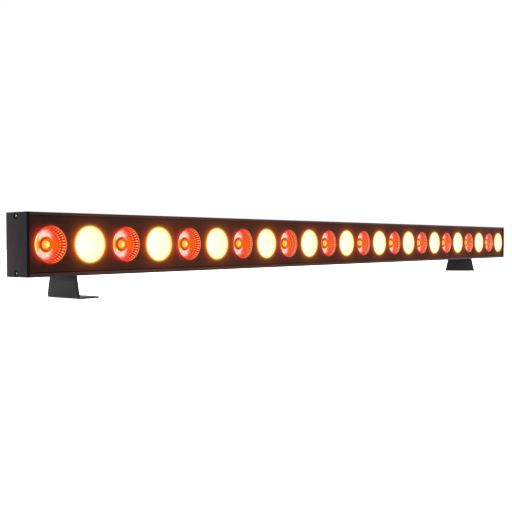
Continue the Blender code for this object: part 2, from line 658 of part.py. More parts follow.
def make_fuse():
    """Fuse holder through the cover, and its bayonet cap with a coin slot."""
    ring = FUSE_RING_DIA / 2
    body = FUSE_DIA / 2
    bore = FUSE_BORE_DIA / 2
    thick = SOCKET_PLATE[2]
    holder = [(bore, thick), (ring, thick), (ring, 0), (body, 0), (body, -FUSE_DEPTH),
              (bore, -FUSE_DEPTH)]
    place(turned("fuse_holder", holder, ROUND, closed=True), "black_plastic",
          (FUSE_X, DRIVER_BACK + FIT, BODY_MID), TOWARD_BACK)
    rim = FUSE_CAP_DIA / 2
    edge = 0.001
    stem = bore - FIT
    top = FUSE_CAP_HEIGHT
    cap = [(0, top), (rim - edge, top), (rim, top - edge), (rim, 0), (stem, 0),
           (stem, -FUSE_STEM), (0, -FUSE_STEM)]
    knob = turned("fuse_cap", cap, ROUND)
    place(knob, "black_plastic", (FUSE_X, DRIVER_BACK + 2 * FIT + thick, BODY_MID), TOWARD_BACK)
    slot = box("fuse_cap_slot", COIN_SLOT, (0, 0, top))
    join_or_cut(knob, [slot], "DIFFERENCE")


def build():
    make_housing()
    make_front_panel()
    make_end_caps()
    make_led_board()
    make_lenses()
    make_feet()
    make_driver_cover()
    make_driver_insides()
    make_window_and_buttons()
    make_sockets()
    make_fuse()


clear_scene()
PARTS = collection("pixel_batten")
CUTTERS = collection("cutters")
build()
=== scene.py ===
"""Looks of the LED batten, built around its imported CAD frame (metres, +X along the bar)."""
import json
import math

import bmesh
import bpy
from mathutils import Matrix, Vector


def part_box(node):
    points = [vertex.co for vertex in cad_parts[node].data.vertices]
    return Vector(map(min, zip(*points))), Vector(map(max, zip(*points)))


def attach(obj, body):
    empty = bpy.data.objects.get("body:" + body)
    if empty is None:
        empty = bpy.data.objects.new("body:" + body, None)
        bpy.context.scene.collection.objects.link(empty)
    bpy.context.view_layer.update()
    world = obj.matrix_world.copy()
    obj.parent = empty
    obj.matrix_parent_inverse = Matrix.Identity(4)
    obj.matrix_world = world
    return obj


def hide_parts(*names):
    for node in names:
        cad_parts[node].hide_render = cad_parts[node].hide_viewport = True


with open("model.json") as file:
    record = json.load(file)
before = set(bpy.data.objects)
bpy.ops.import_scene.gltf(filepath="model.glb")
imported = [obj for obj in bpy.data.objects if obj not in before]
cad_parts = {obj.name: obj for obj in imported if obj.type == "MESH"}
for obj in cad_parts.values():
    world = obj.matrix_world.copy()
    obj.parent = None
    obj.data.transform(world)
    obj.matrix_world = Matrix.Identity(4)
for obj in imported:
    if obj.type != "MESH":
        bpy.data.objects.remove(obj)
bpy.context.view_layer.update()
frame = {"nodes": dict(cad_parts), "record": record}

# ---- sizes taken from the frame ----------------------------------------------------------
BAR_LOW, BAR_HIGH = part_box("housing")
PANEL_LOW, PANEL_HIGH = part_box("front_panel")
COVER_LOW, COVER_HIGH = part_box("driver_cover")
FRONT = BAR_LOW.y
BAR_DEPTH = BAR_HIGH.y - BAR_LOW.y
BAR_HEIGHT = BAR_HIGH.z - BAR_LOW.z
BAR_MID = (BAR_LOW.z + BAR_HIGH.z) / 2
PANEL_FRONT = PANEL_LOW.y
LENS_NAMES = sorted(name for name in frame["nodes"] if name.startswith("lens_"))
LENS_BOXES = [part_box(name) for name in LENS_NAMES]
LENS_X = [(low.x + high.x) / 2 for low, high in LENS_BOXES]
LENS_PITCH = (LENS_X[-1] - LENS_X[0]) / (len(LENS_X) - 1)
LENS_BACK = LENS_BOXES[0][1].y
LENS_PROUD = PANEL_FRONT - LENS_BOXES[0][0].y
LENS_RIM = (LENS_BOXES[0][1].x - LENS_BOXES[0][0].x) / 2

HOLE_RADIUS = 0.0162
LENS_RADIUS = 0.0160
WALL = 0.0018
SIDES = ("left", "right")
BUTTONS = range(1, 5)
SOCKETS = ("power_in", "power_out", "dmx_in", "dmx_out")
PANE_HALF = Vector((0.0169, 0.0079))     # display pane, across and up

SHARP_ANGLE = math.radians(35)
WELD = 0.000002        # vertices closer than this become one

TOWARD_FRONT = Matrix.Rotation(math.radians(90), 4, "X")
TOWARD_BACK = Matrix.Rotation(math.pi, 4, "Z") @ TOWARD_FRONT
ALONG_BAR = Matrix.Rotation(math.radians(90), 4, "Z") @ TOWARD_FRONT
TOWARD_LEFT = Matrix.Rotation(math.radians(-90), 4, "Z") @ TOWARD_FRONT


# ---- node helpers ------------------------------------------------------------------------
class Nodes:
    """Short way to build one material's node tree."""

    def __init__(self, name):
        self.material = bpy.data.materials.new(name)
        self.material.use_nodes = True
        self.tree = self.material.node_tree
        self.shader = self.tree.nodes["Principled BSDF"]

    def feed(self, socket, value):
        """Link an output to the socket, or give the socket a constant."""
        if isinstance(value, bpy.types.NodeSocket):
            self.tree.links.new(value, socket)
        else:
            socket.default_value = value

    def add(self, kind, settings=(), **inputs):
        node = self.tree.nodes.new(kind)
        for key, value in dict(settings).items():
            setattr(node, key, value)
        for key, value in inputs.items():
            self.feed(node.inputs[key.replace("_", " ")], value)
        return node

    def math(self, operation, a, b=0.0, c=0.0):
        node = self.add("ShaderNodeMath", {"operation": operation})
        for socket, value in zip(node.inputs, (a, b, c)):
            self.feed(socket, value)
        return node.outputs[0]

    def product(self, first, *shares):
        for share in shares:
            first = self.math("MULTIPLY", first, share)
        return first

    def between(self, value, low, high, out_low=0.0, out_high=1.0):
        """Smooth step of value from low to high."""
        node = self.add("ShaderNodeMapRange", {"interpolation_type": "SMOOTHSTEP"})
        for socket, item in zip(node.inputs, (value, low, high, out_low, out_high)):
            self.feed(socket, item)
        return node.outputs[0]

    def mix(self, factor, a, b, blend="MIX"):
        """Mix of two colours, each an output or a plain RGB."""
        node = self.add("ShaderNodeMix", {"data_type": "RGBA", "blend_type": blend,
                                          "clamp_result": False})
        self.feed(node.inputs[0], factor)
        for number, value in ((6, a), (7, b)):
            plain = not isinstance(value, bpy.types.NodeSocket)
            self.feed(node.inputs[number], (*value, 1.0) if plain else value)
        return node.outputs[2]

    def place(self, scale=(1, 1, 1)):
        coords = self.tree.nodes.new("ShaderNodeTexCoord")
        mapping = self.add("ShaderNodeMapping", Vector=coords.outputs["Object"], Scale=scale)
        return mapping.outputs[0]

    def noise(self, vector, scale, detail=3.0, roughness=0.5):
        node = self.add("ShaderNodeTexNoise", Vector=vector, Scale=scale, Detail=detail,
                        Roughness=roughness)
        return node.outputs[0]

    def bump(self, height, strength, distance):
        node = self.add("ShaderNodeBump", Height=height, Strength=strength, Distance=distance)
        return node.outputs[0]

    def wire(self, **sockets):
        """Feed the shader's own sockets, and give back the material."""
        for key, value in sockets.items():
            self.feed(self.shader.inputs[key.replace("_", " ")], value)
        return self.material


def coated_metal(name, colour, roughness, grain=2600.0, depth=0.00003, specular=0.5,
                 stretch=(1, 1, 1), wear=0.0, patchy=0.3):
    """Powder coat or anodising: fine grain, patchy sheen, and hairline rubs along the bar."""
    n = Nodes(name)
    at = n.place(stretch)
    patches = n.noise(at, 18.0, 2.0)
    grains = n.noise(at, grain, 2.0)
    dark = tuple((1 - 0.18 * patchy) * c for c in colour)
    light = tuple((1 + 0.25 * patchy) * c for c in colour)
    tint = n.mix(n.between(patches, 0.35, 0.65), dark, light)
    if wear:
        hairs = n.between(n.noise(n.place((0.06, 1, 1)), 900.0, 2.0), 0.62, 0.78)
        here = n.between(n.noise(at, 40.0, 3.0), 0.45, 0.65)
        tint = n.mix(n.product(hairs, here, wear), tint, RUBBED_COLOUR)
    smudge = n.noise(at, 55.0, 4.0, 0.6)
    rough = n.math("ADD", roughness - 0.03, n.product(smudge, 0.07))
    return n.wire(Base_Color=tint, Roughness=rough, Specular_IOR_Level=specular,
                  Normal=n.bump(grains, 0.35, depth))


def brushed_metal(name, colour, roughness, stretch):
    """Bare metal with fine lines along the axis that stretch scales least."""
    n = Nodes(name)
    at = n.place(stretch)
    lines = n.noise(at, 900.0, 3.0)
    spots = n.noise(n.place(), 260.0, 4.0)
    tint = n.mix(lines, tuple(0.75 * c for c in colour), colour)
    rough = n.math("ADD", roughness - 0.08, n.product(spots, 0.22))
    return n.wire(Base_Color=tint, Roughness=rough, Metallic=1.0,
                  Normal=n.bump(lines, 0.2, 0.00002))


def moulded_plastic(name, colour, roughness, specular=0.5):
    """Spark-eroded plastic: pebbled bump and uneven gloss."""
    n = Nodes(name)
    at = n.place()
    pebbles = n.add("ShaderNodeTexVoronoi", {"feature": "SMOOTH_F1"}, Vector=at, Scale=2300.0)
    clouds = n.noise(at, 70.0, 3.0)
    tint = n.mix(clouds, tuple(0.8 * c for c in colour), tuple(1.15 * c for c in colour))
    rough = n.math("ADD", roughness - 0.07, n.product(clouds, 0.14))
    height = pebbles.outputs["Distance"]
    return n.wire(Base_Color=tint, Roughness=rough, Specular_IOR_Level=specular,
                  Normal=n.bump(height, 0.25, 0.00004))


def glowing_face(name, colour, roughness, specular, fill, recess_shade=0.0, strength=2.0):
    """Black front face with the light spilt round the lenses painted on as emission, by distance
    from each, and painted shade along its edges if asked.
    """
    n = Nodes(name)
    split = n.add("ShaderNodeSeparateXYZ", Vector=n.place())
    x, z = split.outputs[0], split.outputs[2]
    up = n.math("SUBTRACT", z, BAR_MID)
    up_squared = n.product(up, up)

    def distance(end, limit):
        """Way past the nearest lens's edge, and how far the place is beside that lens."""
        start = n.math("SUBTRACT", x, end)
        along = n.math(limit, n.math("WRAP", start, LENS_PITCH, -LENS_PITCH), start)
        away = n.math("SQRT", n.math("ADD", n.product(along, along), up_squared))
        beside = n.math("DIVIDE", along, n.math("MAXIMUM", away, 0.001))
        return n.math("MAXIMUM", n.math("SUBTRACT", away, LENS_RADIUS), 0.0), beside

    def fall(past, width, gain=1.0):
        """Glow that fades with the distance past a lens's edge."""
        return n.product(n.math("EXPONENT", n.product(past, -1.0 / width)), gain)

    warm, warm_side = distance(LENS_X[1], "MINIMUM")
    red, red_side = distance(LENS_X[-2], "MAXIMUM")
    wide = n.math("ADD", 0.14, n.product(warm_side, warm_side, 0.86))
    left = n.between(n.product(red_side, -1.0), 0.3, 1.0, 0.04, 1.0)
    # Painted glow: halos of light spilt round the warm and red lenses.
    layers = [
        (fall(warm, 0.0030, wide), (0.42, 0.046, 0.0)),
        (fall(warm, 0.0007), (0.60, 0.42, 0.05)),
        (fall(warm, 0.0070), (0.030, 0.007, 0.001)),
        (fall(red, 0.0023, left), (0.33, 0.014, 0.006)),
        (fall(red, 0.0007), (0.13, 0.008, 0.002)),
    ]
    # Painted glow: an even fill over the face, fainter towards the left end.
    middle = n.between(x, BAR_LOW.x, 0.6 * BAR_LOW.x, 0.45, 1.0)
    glow = n.mix(middle, (0, 0, 0), tuple(c / strength for c in fill))
    for share, tone in layers:
        glow = n.mix(1.0, glow, n.mix(share, (0, 0, 0), tone), "ADD")
    grains = n.noise(n.place(), 3200.0, 2.0)
    clouds = n.noise(n.place((0.35, 1, 1)), 30.0, 3.0)
    tint = n.mix(n.between(clouds, 0.3, 0.7), tuple(0.85 * c for c in colour),
                 tuple(1.15 * c for c in colour))
    # Painted shade: darker along the top, bottom and ends, where the lips and caps shade the
    # face.
    if recess_shade:
        half = (PANEL_HIGH.z - PANEL_LOW.z) / 2
        far, near = half - 0.0012, half - 0.0026
        top = n.between(up, near, far, 1.0, 0.85)
        bottom = n.between(up, -near, -far, 1.0, recess_shade)
        ends = n.between(n.math("ABSOLUTE", x), PANEL_HIGH.x - 0.0012, PANEL_HIGH.x, 1.0,
                         recess_shade)
        shade = n.product(top, bottom, ends)
        glow = n.mix(shade, (0, 0, 0), glow)
        tint = n.mix(shade, (0, 0, 0), tint)
    rough = n.math("ADD", roughness - 0.05, n.product(clouds, 0.12))
    return n.wire(Base_Color=tint, Roughness=rough, Specular_IOR_Level=specular,
                  Emission_Color=glow, Emission_Strength=strength,
                  Normal=n.bump(grains, 0.25, 0.00002))


def cup_light(name, stops, strength, facets=False):
    """Lit reflector cup: colour by radius, with painted highlight leaves and a painted glancing
    highlight on its left side, a rim and facets if asked.

    The UV map is polar: U goes once round from local +X, and V runs from centre to rim.
    """
    n = Nodes(name)
    polar = n.add("ShaderNodeSeparateXYZ", Vector=n.add("ShaderNodeUVMap").outputs[0])
    turn, radius = polar.outputs[0], polar.outputs[1]
    ramp = n.add("ShaderNodeValToRGB", Fac=radius)
    band = ramp.color_ramp
    while len(band.elements) < len(stops):
        band.elements.new(0.5)
    for element, (place, colour) in zip(band.elements, stops):
        element.position = place
        element.color = (*colour, 1.0)
    lit = ramp.outputs[0]
    angle = n.product(turn, 2 * math.pi)
    right = n.math("COSINE", angle)
    left = n.product(right, -1.0)
    above = n.math("ABSOLUTE", n.math("SINE", angle))
    if facets:
        aside = n.product(n.between(above, 0.30, 0.75), n.between(radius, 0.40, 0.62))
        lit = n.mix(aside, lit, (0.90, 0.045, 0.012))
        core = n.product(n.between(left, -0.1, 0.5), n.between(radius, 0.03, 0.10),
                       n.between(radius, 0.22, 0.17), 0.8)
        lit = n.mix(core, lit, (0.95, 0.42, 0.05))
        ring = n.product(n.between(radius, 0.292, 0.315), n.between(radius, 0.380, 0.355),
                       n.between(left, -0.45, 0.05))
        lit = n.mix(ring, lit, (0.26, 0.025, 0.008))
        # Painted highlight: pale leaves above and below the ring on the left side, for
        # reflections of the studio light.
        streak = n.noise(n.place(), 420.0, 3.0)
        inward = n.math("SUBTRACT", 1.0, radius)
        sweep = n.math("ADD", left, n.product(inward, 2.6))
        highlight_leaf = n.product(n.between(sweep, 0.05, 1.15), n.between(above, 0.20, 0.65),
                       n.between(radius, 0.38, 0.47), n.between(radius, 1.14, 0.66),
                       n.between(streak, 0.35, 0.65, 0.70, 1.0))
        lit = n.mix(n.product(highlight_leaf, highlight_leaf), lit, (1.0, 0.95, 0.80))
        # Painted highlight: a bright glint on the far left of the bowl.
        glancing_highlight = n.product(n.between(left, 0.70, 0.93), n.between(radius, 0.42, 0.58))
        lit = n.mix(glancing_highlight, lit, n.mix(n.between(radius, 0.66, 0.84), (1.0, 0.42, 0.06),
                                       (1.0, 0.94, 0.28)))
        spokes = n.math("SINE", n.product(turn, 2 * math.pi * FACETS))
        rows = n.math("SINE", n.product(radius, 2 * math.pi * FACET_ROWS))
        toward_right = n.between(right, 0.10, 0.75)
        belt = n.product(n.between(radius, 0.68, 0.80), n.between(radius, 0.97, 0.94),
                       toward_right)
        gaps = n.product(n.between(spokes, 0.3, -0.4), belt, 0.95)
        lit = n.mix(gaps, lit, (0.50, 0.005, 0.0))
        dashes = n.product(n.between(spokes, -0.1, 0.6), n.between(rows, -0.8, 0.4), belt)
        lit = n.mix(1.0, lit, n.mix(dashes, (0, 0, 0), (0.35, 0.38, 0.12)), "ADD")
        inner = n.product(n.between(spokes, -0.6, 0.8), n.between(rows, -0.4, 0.8),
                        n.between(radius, 0.44, 0.50), n.between(radius, 0.74, 0.66),
                        toward_right)
        lit = n.mix(1.0, lit, n.mix(inner, (0, 0, 0), (0.05, 0.10, 0.012)), "ADD")
        rim = n.product(n.between(right, -0.3, 0.6), n.between(radius, 0.955, 0.98), 0.8)
        lit = n.mix(rim, lit, (1.0, 0.30, 0.10))
        lit = n.mix(n.math("GREATER_THAN", radius, 0.999), lit, (0.30, 0.015, 0.004))
    else:
        pale = n.product(n.between(left, -0.5, 0.9), n.between(radius, 1.0, 0.6), 0.8)
        lit = n.mix(pale, lit, (1.0, 0.99, 0.96))
    return n.wire(Base_Color=(0.004, 0.002, 0.001, 1.0), Roughness=0.35,
                  Specular_IOR_Level=0.02, Emission_Strength=strength, Emission_Color=lit)


def clear_plastic(name):
    """Clear acrylic with a faint moulding swirl."""
    n = Nodes(name)
    swirl = n.noise(n.place(), 150.0, 2.0)
    return n.wire(Base_Color=(1, 1, 1, 1), Roughness=0.02, IOR=LENS_IOR,
                  Transmission_Weight=1.0, Specular_Tint=(0.1, 0.1, 0.1, 1.0),
                  Normal=n.bump(swirl, 0.04, 0.0001))


RUBBED_COLOUR = (0.22, 0.22, 0.225)
LENS_IOR = 1.10        # low, so the shallow block shows its emitter at about the right depth
FACETS = 36            # round a red cup
FACET_ROWS = 7.0       # from its centre to its rim

BAR_FINISH = coated_metal("bar_finish", (0.020, 0.0195, 0.020), 0.45, specular=0.16,
                          stretch=(0.25, 1, 1), wear=0.10)
CAP_FINISH = coated_metal("cap_finish", (0.0155, 0.0135, 0.0142), 0.55, specular=0.05, wear=0.05)
# Near-black painted shade for the caps' front faces and screw sinks.
CAP_SHADE_BLACK = coated_metal("cap_painted_shade", (0.003, 0.002, 0.002), 0.55, specular=0.02)
COVER_FINISH = coated_metal("cover_finish", (0.018, 0.0175, 0.018), 0.50, grain=1500.0,
                            depth=0.00006, specular=0.20, wear=0.12)
FOOT_FINISH = coated_metal("foot_finish", (0.014, 0.0132, 0.0142), 0.42, grain=1900.0,
                           depth=0.00004, specular=0.10, wear=0.15)
# Black panel coat with painted glow round the lenses and painted shade at its edges.
PANEL_FINISH_AND_PAINTED_GLOW = glowing_face("panel_finish", (0.0035, 0.003, 0.003), 0.50, 0.01,
                            (0.058, 0.016, 0.0075), recess_shade=0.15)
# Lip coat with the lenses' light painted on as glow.
LIP_FINISH_AND_PAINTED_GLOW = glowing_face("lip_finish_and_painted_glow", (0.010, 0.009, 0.009), 0.50, 0.03,
                          (0.055, 0.017, 0.010))
SCREW_BLACK = coated_metal("black_screw", (0.0022, 0.0020, 0.0022), 0.45, specular=0.03)
ZINC = brushed_metal("zinc_steel", (0.55, 0.55, 0.56), 0.34, (1, 8, 1))
MODULE = brushed_metal("module_metal", (0.50, 0.50, 0.52), 0.40, (1, 6, 6))
CONTACT = brushed_metal("contact_metal", (0.72, 0.55, 0.28), 0.28, (1, 1, 1))
PLASTIC = moulded_plastic("black_plastic", (0.018, 0.018, 0.019), 0.45, 0.35)
GREY_PLASTIC = moulded_plastic("button_grey", (0.26, 0.26, 0.27), 0.50, 0.35)
WINDOW = moulded_plastic("window_glass", (0.004, 0.006, 0.006), 0.14, 0.2)
BOARD_GREEN = moulded_plastic("board_green", (0.02, 0.12, 0.05), 0.45, 0.4)
BOARD_WHITE = moulded_plastic("board_white", (0.70, 0.70, 0.67), 0.50, 0.3)
CLEAR = clear_plastic("lens_clear")
RED_CUP = cup_light(
    "lens_red",
    [(0.0, (1.0, 1.0, 0.34)), (0.13, (1.0, 0.98, 0.26)), (0.19, (1.0, 0.50, 0.05)),
     (0.23, (0.86, 0.17, 0.004)), (0.33, (0.86, 0.13, 0.002)), (0.44, (0.93, 0.115, 0.0)),
     (0.70, (0.93, 0.070, 0.0)), (1.0, (0.94, 0.055, 0.022))], 1.0, facets=True)
WARM_CUP = cup_light(
    "lens_warm",
    [(0.0, (1.0, 1.0, 0.90)), (0.55, (1.0, 1.0, 0.80)), (0.84, (1.0, 1.0, 0.68)),
     (0.95, (1.0, 0.98, 0.50)), (1.0, (1.0, 0.78, 0.22))], 1.0)


# ---- mesh helpers ------------------------------------------------------------------------
def piece(name, mesh, looks, body, nodes, at=Matrix()):
    """Object in the row frame that rides on a body and may stand for CAD nodes."""
    item = bpy.data.objects.new(name, mesh)
    item.matrix_world = at
    for look in looks:
        if look.name not in [m.name for m in mesh.materials if m]:
            mesh.materials.append(look)
    bpy.context.scene.collection.objects.link(item)
    if nodes:
        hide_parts(*nodes)
    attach(item, body)


def smooth(mesh):
    mesh.shade_smooth()
    mesh.set_sharp_from_angle(angle=SHARP_ANGLE)


def fillet(points, radii, steps=4):
    """Closed outline with its corners rounded, all alike or each by its own radius."""
    result = []
    count = len(points)
    for i in range(count):
        before, corner, after = (Vector(points[(i + k) % count]) for k in (-1, 0, 1))
        radius = radii[i] if hasattr(radii, "__len__") else radii
        into = (before - corner).normalized()
        out = (after - corner).normalized()
        half = into.angle(out) / 2
        if radius <= 0 or abs(half - math.pi / 2) < 1e-3:
            result.append(corner)
            continue
        reach = min(radius / math.tan(half), 0.45 * (before - corner).length,
                    0.45 * (after - corner).length)
        start, end = corner + into * reach, corner + out * reach
        for k in range(steps + 1):
            t = k / steps
            result.append((1 - t) ** 2 * start + 2 * t * (1 - t) * corner + t * t * end)
    return [tuple(p) for p in result]


def circle(radius, sides, centre=(0, 0)):
    return [(centre[0] + radius * math.cos(2 * math.pi * i / sides),
             centre[1] + radius * math.sin(2 * math.pi * i / sides)) for i in range(sides)]


def rectangle(width, height, radius, centre=(0, 0)):
    w, h = width / 2, height / 2
    cx, cy = centre
    corners = [(cx + w, cy + h), (cx - w, cy + h), (cx - w, cy - h), (cx + w, cy - h)]
    return fillet(corners, radius, 5)


def plate(name, loops, thickness, edge, turn, location=(0, 0, 0)):
    """Flat plate with holes and rounded rims, centred on its thickness."""
    curve = bpy.data.curves.new(name, "CURVE")
    curve.dimensions = "2D"
    curve.fill_mode = "BOTH"
    curve.extrude = thickness / 2 - edge
    curve.bevel_depth = edge
    curve.bevel_resolution = 1
    curve.offset = -edge
    for loop in loops:
        spline = curve.splines.new("POLY")
        spline.points.add(len(loop) - 1)
        for point, (x, y) in zip(spline.points, loop):
            point.co = (x, y, 0, 1)
        spline.use_cyclic_u = True
    return settle(name, bpy.data.objects.new(name, curve), turn, location)


def settle(name, item, turn=Matrix(), location=(0, 0, 0)):
    """Mesh of an object as evaluated, welded and placed in the row frame; the object goes."""
    bpy.context.scene.collection.objects.link(item)
    graph = bpy.context.evaluated_depsgraph_get()
    mesh = bpy.data.meshes.new_from_object(item.evaluated_get(graph))
    bpy.data.objects.remove(item, do_unlink=True)
    work = bmesh.new()
    work.from_mesh(mesh)
    bmesh.ops.remove_doubles(work, verts=work.verts, dist=WELD)
    work.to_mesh(mesh)
    work.free()
    mesh.name = name
    mesh.transform(Matrix.Translation(location) @ turn)
    smooth(mesh)
    return mesh


def turned(name, profile, sides, turn=Matrix(), location=(0, 0, 0), rim=None):
    """Closed solid of revolution about local Z, from (radius, height) points.

    With rim, a polar UV map is added: U round the axis, V the radius as a share of rim.
    """
    work = bmesh.new()
    rings = []
    for radius, height in profile:
        if radius < 1e-9:
            rings.append([work.verts.new((0, 0, height))])
        else:
            rings.append([work.verts.new((x, y, height)) for x, y in circle(radius, sides)])
    uv = work.loops.layers.uv.new("UVMap") if rim else None
    for upper, lower in zip(rings, rings[1:]):
        for i in range(sides):
            k = (i + 1) % sides
            if len(upper) == 1:
                corners = [upper[0], lower[i], lower[k]]
                steps = [i + 0.5, i, i + 1]
            elif len(lower) == 1:
                corners = [upper[k], upper[i], lower[0]]
                steps = [i + 1, i, i + 0.5]
            else:
                corners = [upper[k], upper[i], lower[i], lower[k]]
                steps = [i + 1, i, i, i + 1]
            face = work.faces.new(corners)
            if uv:
                for loop, step in zip(face.loops, steps):
                    away = math.hypot(loop.vert.co.x, loop.vert.co.y) / rim
                    loop[uv].uv = (step / sides, away)
    if not uv:
        bmesh.ops.remove_doubles(work, verts=work.verts, dist=0.000001)
    mesh = bpy.data.meshes.new(name)
    work.to_mesh(mesh)
    work.free()
    mesh.transform(Matrix.Translation(location) @ turn)
    smooth(mesh)
    return mesh


def joined(name, meshes):
    """One mesh of several, keeping each one's material numbers."""
    work = bmesh.new()
    for mesh in meshes:
        work.from_mesh(mesh)
    result = bpy.data.meshes.new(name)
    work.to_mesh(result)
    work.free()
    smooth(result)
    return result


def carved(name, mesh, tools):
    """The mesh with the tool meshes taken away from it."""
    item = bpy.data.objects.new(name, mesh)
    tool = bpy.data.objects.new(name + "_tool", joined(name + "_tool", tools))
    bpy.context.scene.collection.objects.link(tool)
    step = item.modifiers.new("carve", "BOOLEAN")
    step.operation = "DIFFERENCE"
    step.solver = "EXACT"
    step.object = tool
    result = settle(name, item)
    bpy.data.objects.remove(tool, do_unlink=True)
    return result


def block(name, low, high, edge=0.0, segments=2):
    """Box between two corners, with bevelled edges if asked."""
    work = bmesh.new()
    low, high = Vector(low), Vector(high)
    bmesh.ops.create_cube(work, size=1, matrix=Matrix.Diagonal((*(high - low), 1)))
    bmesh.ops.translate(work, verts=work.verts, vec=(low + high) / 2)
    if edge:
        bmesh.ops.bevel(work, geom=work.edges[:], offset=edge, segments=segments, profile=0.5,
                        affect="EDGES")
    mesh = bpy.data.meshes.new(name)
    work.to_mesh(mesh)
    work.free()
    smooth(mesh)
    return mesh


# ---- camera, light and floor -------------------------------------------------------------
def make_camera():
    """Camera in front of the bar's left end, placed by the pitch of the lenses."""
    data = bpy.data.cameras.new("camera")
    data.sensor_width = 36.0
    data.lens = 53.1
    data.clip_start = 0.01
    camera = bpy.data.objects.new("camera", data)
    first_lens = Vector((LENS_X[0], FRONT, BAR_MID))
    away = Vector((-9.145, -13.182, -0.003)) * LENS_PITCH
    forward = Vector((0.7646, 0.6443, -0.0163)).normalized()
    right = Vector((0.6443, -0.7647, -0.0049)).normalized()
    up = right.cross(forward).normalized()
    right = forward.cross(up)
    basis = Matrix((right, up, -forward)).transposed().to_4x4()
    camera.matrix_world = Matrix.Translation(first_lens + away) @ basis
    bpy.context.scene.collection.objects.link(camera)
    bpy.context.scene.camera = camera


def area_light(name, location, target, size, power, colour=(1, 1, 1)):
    data = bpy.data.lights.new(name, "AREA")
    data.shape = "RECTANGLE"
    data.size, data.size_y = size
    data.energy = power
    data.color = colour
    lamp = bpy.data.objects.new(name, data)
    lamp.location = location
    direction = Vector(target) - Vector(location)
    lamp.rotation_euler = direction.to_track_quat("-Z", "Y").to_euler()
    bpy.context.scene.collection.objects.link(lamp)


def make_studio():
    """White surroundings, two soft lamps and a pale floor."""
    world = bpy.data.worlds.new("studio")
    world.use_nodes = True
    background = world.node_tree.nodes["Background"]
    background.inputs["Color"].default_value = (1.0, 1.0, 1.0, 1.0)
    background.inputs["Strength"].default_value = 1.0
    bpy.context.scene.world = world
    bpy.context.scene.view_settings.view_transform = "Standard"
    area_light("overhead", (0.1, -0.2, 1.3), (0, 0, 0), (1.6, 1.0), 14.0)
    area_light("left_fill", (-1.4, -0.5, 0.6), (-0.4, 0, 0.05), (0.8, 0.8), 1.5)
    mesh = bpy.data.meshes.new("floor")
    reach = 6.0
    mesh.from_pydata([(-reach, -reach, 0), (reach, -reach, 0), (reach, reach, 0),
                      (-reach, reach, 0)], [], [(0, 1, 2, 3)])
    floor = bpy.data.objects.new("floor", mesh)
    n = Nodes("floor")
    clouds = n.noise(n.place(), 3.0, 3.0)
    tint = n.mix(clouds, (0.90, 0.90, 0.90), (0.94, 0.94, 0.94))
    mesh.materials.append(n.wire(Base_Color=tint, Roughness=0.9, Specular_IOR_Level=0.1,
                                 Emission_Color=(1, 1, 1, 1), Emission_Strength=1.0))
    bpy.context.scene.collection.objects.link(floor)


# ---- bar ---------------------------------------------------------------------------------
def make_bar():
    """Extrusion with rounded edges; its two lips carry the lenses' glow, painted on as emission.
    """
    height, depth = BAR_HEIGHT, BAR_DEPTH
    lip_top, lip_bottom, lip = 0.0025, 0.0034, 0.0012
    low, high = WALL, height - WALL
    mouth_front, mouth_back = 0.0209, 0.0273
    slot_front, slot_back, slot_top = 0.0196, 0.0286, 0.0063
    section = [     # across from the front, up, and the corner's radius
        (0, 0, 0.0006), (mouth_front, 0, 0.0003), (mouth_front, low, 0.0002),
        (slot_front, low, 0.0002), (slot_front, slot_top, 0.0003), (slot_back, slot_top, 0.0003),
        (slot_back, low, 0.0002), (mouth_back, low, 0.0002), (mouth_back, 0, 0.0003),
        (depth, 0, 0.0008), (depth, height, 0.0008), (0, height, 0.0006),
        (0, height - lip_top, 0.0003), (lip, height - lip_top, 0.0003), (lip, high, 0.0003),
        (depth - WALL, high, 0.0005), (depth - WALL, slot_top + WALL, 0.0005),
        (slot_front - WALL, slot_top + WALL, 0.0005), (slot_front - WALL, low, 0.0005),
        (lip, low, 0.0003), (lip, lip_bottom, 0.0003), (0, lip_bottom, 0.0003),
    ]
    points = fillet([(y, z) for y, z, _ in section], [r for _, _, r in section], 3)
    length = BAR_HIGH.x - BAR_LOW.x
    mesh = plate("bar_body", [points], length, 0.0002, ALONG_BAR, (0, FRONT, BAR_LOW.z))
    mesh.materials.append(BAR_FINISH)
    mesh.materials.append(LIP_FINISH_AND_PAINTED_GLOW)
    # Front-facing faces of the lips take the material with painted glow.
    for face in mesh.polygons:
        if face.normal.y < -0.25 and face.center.y < FRONT + 0.001:
            face.material_index = 1
    piece("bar_body", mesh, [], "bar", ["housing"])


def make_panel():
    """Front panel with a round hole for each lens."""
    play = 0.0004
    width = PANEL_HIGH.x - PANEL_LOW.x - play
    height = PANEL_HIGH.z - PANEL_LOW.z - play
    holes = [circle(HOLE_RADIUS, 72, (x, 0)) for x in LENS_X]
    middle = ((PANEL_LOW.x + PANEL_HIGH.x) / 2, (PANEL_LOW.y + PANEL_HIGH.y) / 2, BAR_MID)
    mesh = plate("lens_panel", [rectangle(width, height, 0.0003), *holes],
                 PANEL_HIGH.y - PANEL_LOW.y, 0.00025, TOWARD_FRONT, middle)
    piece("lens_panel", mesh, [PANEL_FINISH_AND_PAINTED_GLOW], "bar", ["front_panel"])


